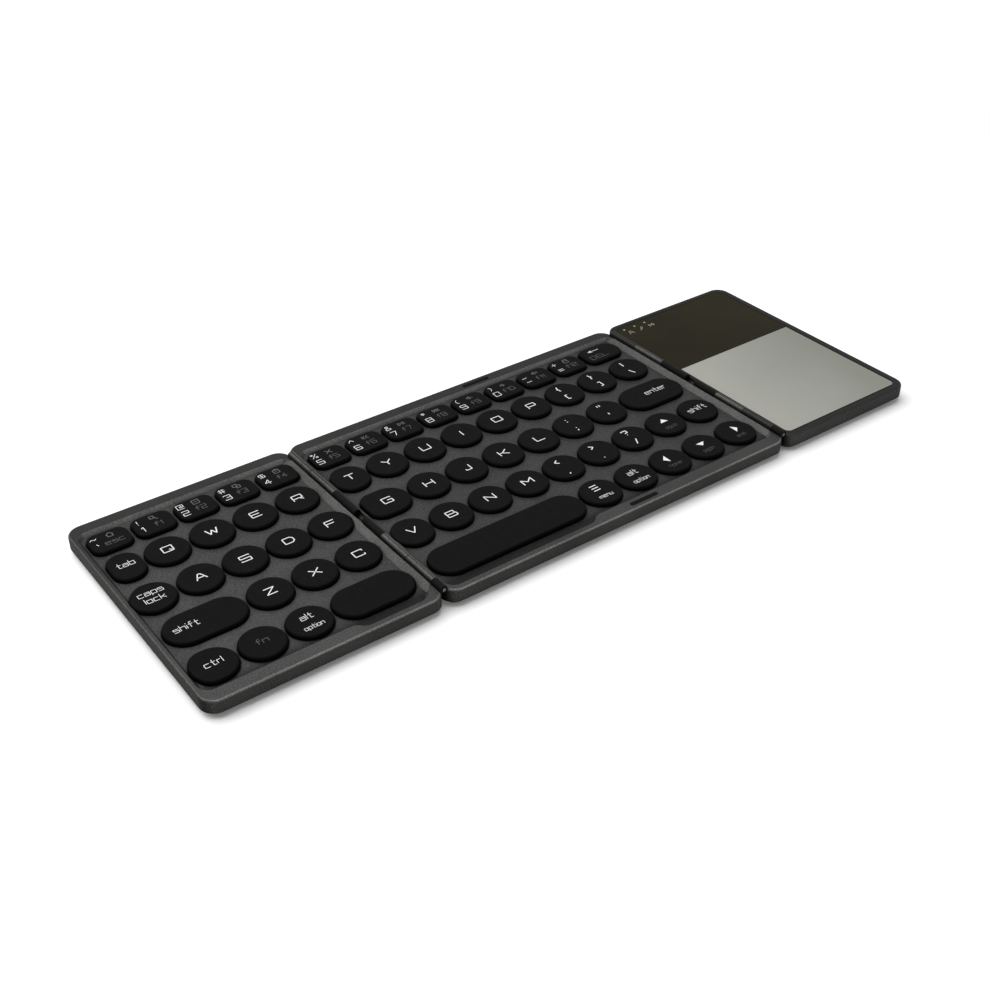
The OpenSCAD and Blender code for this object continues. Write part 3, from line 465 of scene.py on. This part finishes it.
# the first word that a CAD node's name holds gives its finish
finishWords = (
    ("right_frame", "dark_paint"),
    ("_frame", "gunmetal_paint"),
    ("_shell", "gunmetal_paint"),
    ("_screws", "black_steel"),
    ("_feet", "rubber"),
    ("rim_bumpers", "rubber"),
    ("_base_plate", "zinc_steel"),
    ("_switch_sheet", "sheet_film"),
    ("_dome_mat", "dome_silicone"),
    ("_magnets", "magnet_nickel"),
    ("_hinge_pins", "pin_steel"),
    ("_sleeve", "sleeve_plastic"),
    ("_hinge_cap", "sleeve_plastic"),
    ("touch_plate", "smoked_glass"),
    ("_board", "board_resin"),
    ("indicator_lights", "print_cream"),
    ("battery", "cell_foil"),
    ("charging_socket", "socket_steel"),
    ("_key", "key_plastic"),
)


def dressNodes():
    for name, node in nodes.items():
        finish = next(value for word, value in finishWords if word in name)
        node.data.materials.clear()
        node.data.materials.append(finishes[finish])


dressNodes()
print("nodes dressed")


# strokes as a pen draws them, each a run of points of two digits, across and up on a grid of 8 by 8
letters = {
    "A": "00385880 1373", "B": "04087874 0484800004", "C": "868808008082", "D": "00086886826000",
    "E": "88080080 0474", "F": "880800 0474", "G": "87880800808444", "H": "0008 8088 0484",
    "I": "0800", "J": "68601012", "K": "0008 883480 0434", "L": "080080",
    "M": "0008438880", "N": "00088088", "O": "0008888000", "P": "0008888303",
    "Q": "0008888000 5380", "R": "0008888303 5380", "S": "8788080484800001", "T": "0888 4840",
    "U": "08008088", "V": "084088", "W": "0820466088", "X": "0088 0880",
    "Y": "084488 4440", "Z": "08880080",
    "0": "0008686000", "1": "062820", "2": "07086864040060", "3": "070868600001 2464",
    "4": "40480363", "5": "68080464600001", "6": "67680800606404", "7": "086830",
    "8": "04086864 0464600004", "9": "64040868600001",
    "a": "056560000363", "b": "0800606505", "c": "65050060", "d": "6860000565",
    "e": "036365050060", "f": "582820 0555", "g": "67070262 676000", "h": "0008 056560",
    "i": "0005 0708", "k": "0008 652360 0323", "l": "0800", "m": "00058580 4540",
    "n": "00056560", "o": "0005656000", "p": "0007676202", "r": "000545",
    "s": "650503636000", "t": "282050 0555", "u": "05006065",
    "~": "03255375", "`": "0815", "!": "0803 0100", "@": "535535337378080070",
    "#": "2028 5058 0373 0676", "$": "670704646101 3038", "%": "0068 0608282606 4042626040", "^": "043864",
    "&": "601618484603004063", "*": "3338 1457 1754", "(": "28060220", ")": "08262200",
    "_": "0060", "-": "0464", "+": "3137 0464", "=": "0262 0565",
    "{": "38282504232030", "}": "08181534131000", "[": "38080030", "]": "08383000",
    "|": "0008", "\\": "0830", ":": "0506 0102", ";": "1516 1200",
    "\"": "0805 3835", "'": "0805", "<": "470441", ">": "074401",
    ",": "1200", ".": "0001", "?": "070868643433 3130", "/": "0048",
}
pictures = {
    "house": "044884 14107074", "lens": "0308585303 5380", "frame": "0008888000 2464",
    "copy": "0308585303 3330808555", "paste": "0007777000 2858 2454", "scissors": "0087 0780",
    "back": "0107 471441 875481", "play": "01074401 6167 8187", "next": "07340107 47744147 8187",
    "mute": "03052547412303 6482", "quieter": "03052547412303 6365", "louder": "03052547412303 6365 8286",
    "padlock": "0005757000 15187875", "arrow": "8404 360432", "lines": "0080 0484 0888",
    "signal": "0022 2264 2268 6488", "cell": "0107717701 8385", "cap": "00385880 1373",
}
lowered = "pg,"   # these hang under the line

# grid steps across and up and the pen's width, and which of its piece's inks each kind of legend takes
legendStyles = {
    "letter": {"across": 0.430, "up": 0.365, "pen": 0.35, "ink": 0},
    "broad": {"across": 0.490, "up": 0.365, "pen": 0.40, "ink": 0},
    "digit": {"across": 0.370, "up": 0.330, "pen": 0.24, "ink": 0},
    "sign": {"across": 0.320, "up": 0.300, "pen": 0.21, "ink": 0},
    "mark": {"across": 0.340, "up": 0.340, "pen": 0.38, "ink": 0},
    "long": {"across": 0.640, "up": 0.290, "pen": 0.24, "ink": 0},
    "word": {"across": 0.268, "up": 0.315, "pen": 0.20, "ink": 0},
    "small": {"across": 0.165, "up": 0.235, "pen": 0.16, "ink": 0},
    "faint": {"across": 0.160, "up": 0.215, "pen": 0.13, "ink": 1},
    "label": {"across": 0.285, "up": 0.290, "pen": 0.12, "ink": 1},
    "icon": {"across": 0.290, "up": 0.290, "pen": 0.21, "ink": 1},
}
printSet = {
    "space": 2,          # grid steps between two glyphs
    "tall": 8,           # and from the line to the top of a capital, a digit or a picture
    "short": 5,          # and of a small letter
    "drop": 2,           # and from the line down to the foot of a lowered glyph
    "rise": 0.02,
    "sink": 0.01,
    "roundness": 0.50,   # radius of a stroke's corners, as a share of the pen
    "rounding": 2,
}


def meshFrom(shape, name):
    mesh = bpy.data.meshes.new(name)
    shape.to_mesh(mesh)
    shape.free()
    return mesh


def liftMade(shape, made, height):
    # moves what an extrude has just made upwards
    raised = [v for v in made["geom"] if isinstance(v, bmesh.types.BMVert)]
    bmesh.ops.translate(shape, verts=raised, vec=(0, 0, height * mm))


def newPiece(name, mesh, body, *slots):
    piece = bpy.data.objects.new(name, mesh)
    bpy.context.collection.objects.link(piece)
    for finish in slots:
        mesh.materials.append(finishes[finish])
    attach(piece, body)
    return piece


def glyphStrokes(text):
    # the text's strokes as lists of grid points, and its width in grid steps
    strokes, start, width = [], 0, 0
    for glyph in [text] if text in pictures else text:
        drawn = pictures.get(glyph) or letters[glyph]
        lines = [[(int(a), int(b)) for a, b in zip(line[::2], line[1::2])] for line in drawn.split()]
        drop = printSet["drop"] if glyph in lowered else 0
        strokes += [[(start + x, y - drop) for x, y in line] for line in lines]
        width = start + max(x for line in lines for x, y in line)
        start = width + printSet["space"]
    return strokes, width


def penWall(text, style, x, y, z):
    # upright ribbons along the strokes, centred on x and y, with round corners
    strokes, width = glyphStrokes(text)
    tall = printSet["short" if text[0].islower() and text not in pictures else "tall"]
    ribbon = bmesh.new()
    for line in strokes:
        made = []
        for gridX, gridY in line:
            closed = len(line) > 3 and (gridX, gridY) == line[0] and len(made) == len(line) - 1
            placeX = x + (gridX - width / 2) * style["across"]
            placeY = y + (gridY - tall / 2) * style["up"]
            made.append(made[0] if closed else ribbon.verts.new((placeX * mm, placeY * mm, z)))
        for first, second in zip(made, made[1:]):
            ribbon.edges.new((first, second))
    walls = bmesh.ops.extrude_edge_only(ribbon, edges=ribbon.edges[:])
    liftMade(ribbon, walls, printSet["rise"] + printSet["sink"])
    corners = [e for e in ribbon.edges if len(e.link_faces) == 2]
    if corners:
        radius = printSet["roundness"] * style["pen"] * mm
        bmesh.ops.bevel(ribbon, geom=corners, offset=radius, offset_type="OFFSET", profile=0.5,
                        segments=printSet["rounding"], affect="EDGES", material=-1, clamp_overlap=True)
    bmesh.ops.recalc_face_normals(ribbon, faces=ribbon.faces[:])
    return ribbon


def printLegends(name, body, entries, z, inks):
    # entries: text, style, x, y; one piece whose pen widths are weights of one Solidify
    widest = max(legendStyles[style]["pen"] for text, style, x, y in entries)
    whole = bmesh.new()
    share = whole.verts.layers.deform.verify()
    for text, style, x, y in entries:
        s = legendStyles[style]
        ribbon = meshFrom(penWall(text, s, x, y, z - printSet["sink"] * mm), "ribbon")
        known = set(whole.verts)
        whole.from_mesh(ribbon)
        bpy.data.meshes.remove(ribbon)
        for vert in set(whole.verts) - known:
            vert[share][0] = s["pen"] / widest
            for face in vert.link_faces:
                face.material_index = s["ink"] if len(inks) > 1 else 0
    piece = newPiece(name, meshFrom(whole, name), body, *inks)
    piece.vertex_groups.new(name="pen")
    pen = piece.modifiers.new("pen", "SOLIDIFY")
    pen.thickness = widest * mm
    pen.offset = 0
    pen.use_even_offset = True
    pen.vertex_group = "pen"
    return piece


placeSet = {
    "joined": 0.001,   # corners of a mesh nearer than this are one
    "row": 10,         # solids spread wider than this across the board are a row, others a column
}


def solidPlaces(name, s):
    # centre of each solid of a node, from left to right or from back to front
    solids = bmesh.new()
    solids.from_mesh(nodes[name].data)
    bmesh.ops.remove_doubles(solids, verts=solids.verts[:], dist=s["joined"] * mm)
    left, places = set(solids.verts), []
    while left:
        growing, island = [left.pop()], []
        while growing:
            vert = growing.pop()
            island.append(vert.co / mm)
            for edge in vert.link_edges:
                other = edge.other_vert(vert)
                if other in left:
                    left.remove(other)
                    growing.append(other)
        low, high = (Vector(pick(p[i] for p in island) for i in range(3)) for pick in (min, max))
        places.append((low + high) / 2)
    solids.free()
    across = max(p.x for p in places) - min(p.x for p in places)
    return sorted(places, key=lambda p: p.x if across > s["row"] else -p.y)


# where each kind of legend stands from the middle of its cap
legendSpots = {
    "letter": (0.1, 0.15),
    "upperMark": (-0.7, 3.2),
    "lowerMark": (-0.7, -2.9),
    "sign": (-4.5, 2.5),
    "digit": (-4.3, -1.7),
    "picture": (1.0, 2.5),
    "label": (1.2, -1.7),
    "upperWord": (0, 1.8),
    "lowWord": (0, -3.0),
}
broadLetters = "WM"


def letterKeys(glyphs):
    return [[(glyph, "broad" if glyph in broadLetters else "letter", *legendSpots["letter"])]
            for glyph in glyphs]


def pairKey(upper, lower):
    return [(upper, "mark", *legendSpots["upperMark"]), (lower, "mark", *legendSpots["lowerMark"])]


def numberKey(sign, digit, picture, label):
    return [(sign, "sign", *legendSpots["sign"]), (digit, "digit", *legendSpots["digit"]),
            (picture, "icon", *legendSpots["picture"]), (label, "label", *legendSpots["label"])]


def wordKey(word, x=0, y=0, style="word"):
    return [(word, style, x, y)]


def lowWord(word, style):
    return wordKey(word, *legendSpots["lowWord"], style)


altKey = wordKey("alt", *legendSpots["upperWord"]) + lowWord("option", "small")

# each node's keys from left to right, or from back to front
keyLegends = {
    "left_number_keys": [numberKey("~", "`", "house", "esc"), numberKey("!", "1", "lens", "f1"),
                         numberKey("@", "2", "frame", "f2"), numberKey("#", "3", "copy", "f3"),
                         numberKey("$", "4", "paste", "f4")],
    "tab_key": [wordKey("tab", 0, 0.3)],
    "left_upper_keys": letterKeys("QWER"),
    "caps_key": [wordKey("caps", 0, 2.0) + wordKey("lock", 0, -1.7)],
    "left_home_keys": letterKeys("ASDF"),
    "left_shift_key": [wordKey("shift", -6.0)],
    "left_lower_keys": letterKeys("ZXC"),
    "ctrl_key": [wordKey("ctrl")],
    "left_modifier_keys": [wordKey("fn", style="label"), altKey],
    "center_number_keys": [numberKey("%", "5", "scissors", "f5"), numberKey("^", "6", "back", "f6"),
                           numberKey("&", "7", "play", "f7"), numberKey("*", "8", "next", "f8"),
                           numberKey("(", "9", "mute", "f9"), numberKey(")", "0", "quieter", "f10"),
                           numberKey("_", "-", "louder", "f11"), numberKey("+", "=", "padlock", "f12")],
    "delete_key": [[("arrow", "long", -2.0, 2.4), ("DEL", "label", -2.3, -2.0)]],
    "center_edge_keys": letterKeys("TGV"),
    "center_upper_keys": letterKeys("YUIOP") + [pairKey("{", "["), pairKey("}", "]"), pairKey("|", "\\")],
    "center_home_keys": letterKeys("HJKL") + [pairKey(":", ";"), pairKey("\"", "'")],
    "enter_key": [wordKey("enter", 2.4, 0.4)],
    "center_lower_keys": letterKeys("BNM") + [pairKey("<", ","), pairKey(">", "."), pairKey("?", "/")],
    "right_shift_key": [wordKey("shift", 0, 0.2)],
    "center_modifier_keys": [[("lines", "mark", -0.5, 2.4)] + lowWord("menu", "small"), altKey],
    "up_key": [lowWord("pgup", "faint")],
    "left_arrow_key": [lowWord("home", "faint")],
    "down_key": [lowWord("pgdn", "faint")],
    "right_arrow_key": [lowWord("end", "faint")],
}

# the triangle that points along each arrow key, turned in degrees from pointing back
arrowSet = {
    "up_key": {"turn": 0, "base": 3.3, "tall": 2.1, "x": 0.0, "y": 1.3},
    "left_arrow_key": {"turn": 90, "base": 4.0, "tall": 1.8, "x": -0.8, "y": 1.3},
    "down_key": {"turn": 180, "base": 3.5, "tall": 1.9, "x": 0.0, "y": 1.3},
    "right_arrow_key": {"turn": 270, "base": 4.0, "tall": 1.8, "x": 0.8, "y": 1.3},
}


def legendKeys():
    for name, caps in keyLegends.items():
        places = solidPlaces(name, placeSet)
        entries = [(text, style, place.x + x, place.y + y)
                   for place, cap in zip(places, caps) for text, style, x, y in cap]
        inks = ("print_dim",) if name in arrowSet else ("print_white", "print_grey")
        piece = printLegends(name + "_legends", name, entries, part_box(name)[1].z, inks)


def printArrow(name, s):
    # a three-cornered disc of radius 1 has a base of the square root of 3 and is 1.5 tall
    place = solidPlaces(name, placeSet)[0]
    head = bmesh.new()
    bmesh.ops.create_circle(head, cap_ends=True, segments=3, radius=1)
    size = (s["base"] / math.sqrt(3) * mm, s["tall"] / 1.5 * mm, mm)
    bmesh.ops.scale(head, verts=head.verts[:], vec=size)
    turn = Matrix.Rotation(math.radians(s["turn"]), 3, "Z")
    bmesh.ops.rotate(head, verts=head.verts[:], cent=(0, 0, 0), matrix=turn)
    made = bmesh.ops.extrude_face_region(head, geom=head.faces[:])
    liftMade(head, made, printSet["rise"] + printSet["sink"])
    bmesh.ops.recalc_face_normals(head, faces=head.faces[:])
    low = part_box(name)[1].z - printSet["sink"] * mm
    spot = ((place.x + s["x"]) * mm, (place.y + s["y"]) * mm, low)
    bmesh.ops.translate(head, verts=head.verts[:], vec=spot)
    newPiece(name + "_head", meshFrom(head, name + "_head"), name, "print_white")


legendKeys()
print("legends printed")
for arrowKey, arrow in arrowSet.items():
    printArrow(arrowKey, arrow)
print("arrow heads printed")


def touchFilm(s):
    low, high = (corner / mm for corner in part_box("touch_plate"))
    wide, deep = high.x - low.x - 2 * s["inset"], s["divide"] - low.y - s["inset"]
    film = bmesh.new()
    bmesh.ops.create_grid(film, x_segments=1, y_segments=1, size=0.5)
    bmesh.ops.scale(film, verts=film.verts[:], vec=(wide * mm, deep * mm, 1))
    liftMade(film, bmesh.ops.extrude_face_region(film, geom=film.faces[:]), s["thick"])
    upright = [e for e in film.edges if abs(e.verts[0].co.z - e.verts[1].co.z) > 0.5 * s["thick"] * mm]
    front = [e for e in upright if e.verts[0].co.y < 0]
    bmesh.ops.bevel(film, geom=front, offset=s["corner"] * mm, offset_type="OFFSET", profile=0.5,
                    segments=s["rounding"], affect="EDGES", material=-1)
    bmesh.ops.recalc_face_normals(film, faces=film.faces[:])
    middle = Vector(((low.x + high.x) / 2, low.y + s["inset"] + deep / 2, high.z - s["sink"])) * mm
    bmesh.ops.translate(film, verts=film.verts[:], vec=middle)
    newPiece("touch_film", meshFrom(film, "touch_film"), "right_wing", "touch_film")


# each sign's place is told from its light
signSet = {
    "signs": ("cap", "signal", "cell"),
    "x": 1.0,
    "y": -3.1,
}


def indicatorSigns(s):
    lights = solidPlaces("indicator_lights", placeSet)
    entries = [(sign, "icon", light.x + s["x"], light.y + s["y"]) for sign, light in zip(s["signs"], lights)]
    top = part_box("touch_plate")[1].z
    printLegends("indicator_signs", "right_wing", entries, top, ("print_cream",))


touchFilm(filmSet)
indicatorSigns(signSet)
print("touch film and signs laid")


# floor, which is white to the camera and to reflections but for the object's shadow
floorSet = {
    "size": 2400,
    "lit": (0.56, 0.56, 0.56),    # what the floor throws back on the object
    "seen": (1.19, 1.19, 1.19),   # what the camera and reflections see of it
    "glow": 0.085,                # and what is added to that
    "plain": (220, 450),          # distance from the middle where it starts and ends turning plain white
}


def seenRays(tree):
    # 1 for camera, glossy and transmission rays
    path = tree.nodes.new("ShaderNodeLightPath")
    some = addMath(tree, "MAXIMUM", path.outputs["Is Camera Ray"], path.outputs["Is Glossy Ray"])
    return addMath(tree, "MAXIMUM", some, path.outputs["Is Transmission Ray"])


def floorFinish(s):
    finish = bpy.data.materials.new("floor_white")
    finish.use_nodes = True
    tree = finish.node_tree
    tree.nodes.clear()
    coords = tree.nodes.new("ShaderNodeTexCoord")
    distance = tree.nodes.new("ShaderNodeVectorMath")
    distance.operation = "LENGTH"
    tree.links.new(coords.outputs["Object"], distance.inputs[0])
    away = addSpan(tree, distance.outputs["Value"], s["plain"])
    seen = seenRays(tree)
    paper = tree.nodes.new("ShaderNodeBsdfDiffuse")
    tree.links.new(addBlend(tree, seen, s["lit"], s["seen"]), paper.inputs["Color"])
    glow = tree.nodes.new("ShaderNodeEmission")
    tree.links.new(addTimes(tree, seen, s["glow"]), glow.inputs["Strength"])
    white = tree.nodes.new("ShaderNodeEmission")
    white.inputs["Strength"].default_value = 1
    near = tree.nodes.new("ShaderNodeAddShader")
    tree.links.new(paper.outputs[0], near.inputs[0])
    tree.links.new(glow.outputs[0], near.inputs[1])
    both = tree.nodes.new("ShaderNodeMixShader")
    tree.links.new(addTimes(tree, seen, away), both.inputs["Fac"])
    tree.links.new(near.outputs[0], both.inputs[1])
    tree.links.new(white.outputs[0], both.inputs[2])
    out = tree.nodes.new("ShaderNodeOutputMaterial")
    tree.links.new(both.outputs[0], out.inputs["Surface"])
    return finish


def makeFloor(s):
    sheet = bmesh.new()
    bmesh.ops.create_grid(sheet, x_segments=1, y_segments=1, size=s["size"] / 2 * mm)
    floor = bpy.data.objects.new("floor", meshFrom(sheet, "floor"))
    bpy.context.collection.objects.link(floor)
    floor.data.materials.append(floorFinish(s))


# one large softbox and an even grey all round, behind which the camera sees white
lightSet = {
    "ambient": 0.275,
    "place": (-220, 200, 800),
    "size": 1150,
    "watts": 8.6,
}


def makeSurroundings(s):
    world = bpy.data.worlds.new("surroundings")
    bpy.context.scene.world = world
    world.use_nodes = True
    tree = world.node_tree
    tree.nodes.clear()
    both = tree.nodes.new("ShaderNodeMixShader")
    tree.links.new(seenRays(tree), both.inputs["Fac"])
    for socket, strength in ((both.inputs[1], s["ambient"]), (both.inputs[2], 1)):
        sky = tree.nodes.new("ShaderNodeBackground")
        sky.inputs["Color"].default_value = (1, 1, 1, 1)
        sky.inputs["Strength"].default_value = strength
        tree.links.new(sky.outputs[0], socket)
    out = tree.nodes.new("ShaderNodeOutputWorld")
    tree.links.new(both.outputs[0], out.inputs["Surface"])


def makeSoftbox(s):
    lamp = bpy.data.lights.new("softbox", "AREA")
    lamp.shape = "SQUARE"
    lamp.size = s["size"] * mm
    lamp.energy = s["watts"]
    softbox = bpy.data.objects.new("softbox", lamp)
    bpy.context.collection.objects.link(softbox)
    softbox.location = Vector(s["place"]) * mm
    softbox.rotation_euler = (-Vector(s["place"])).to_track_quat("-Z", "Y").to_euler()


makeFloor(floorSet)
makeSurroundings(lightSet)
makeSoftbox(lightSet)
bpy.context.scene.view_settings.view_transform = "Standard"
print("stage and light set")
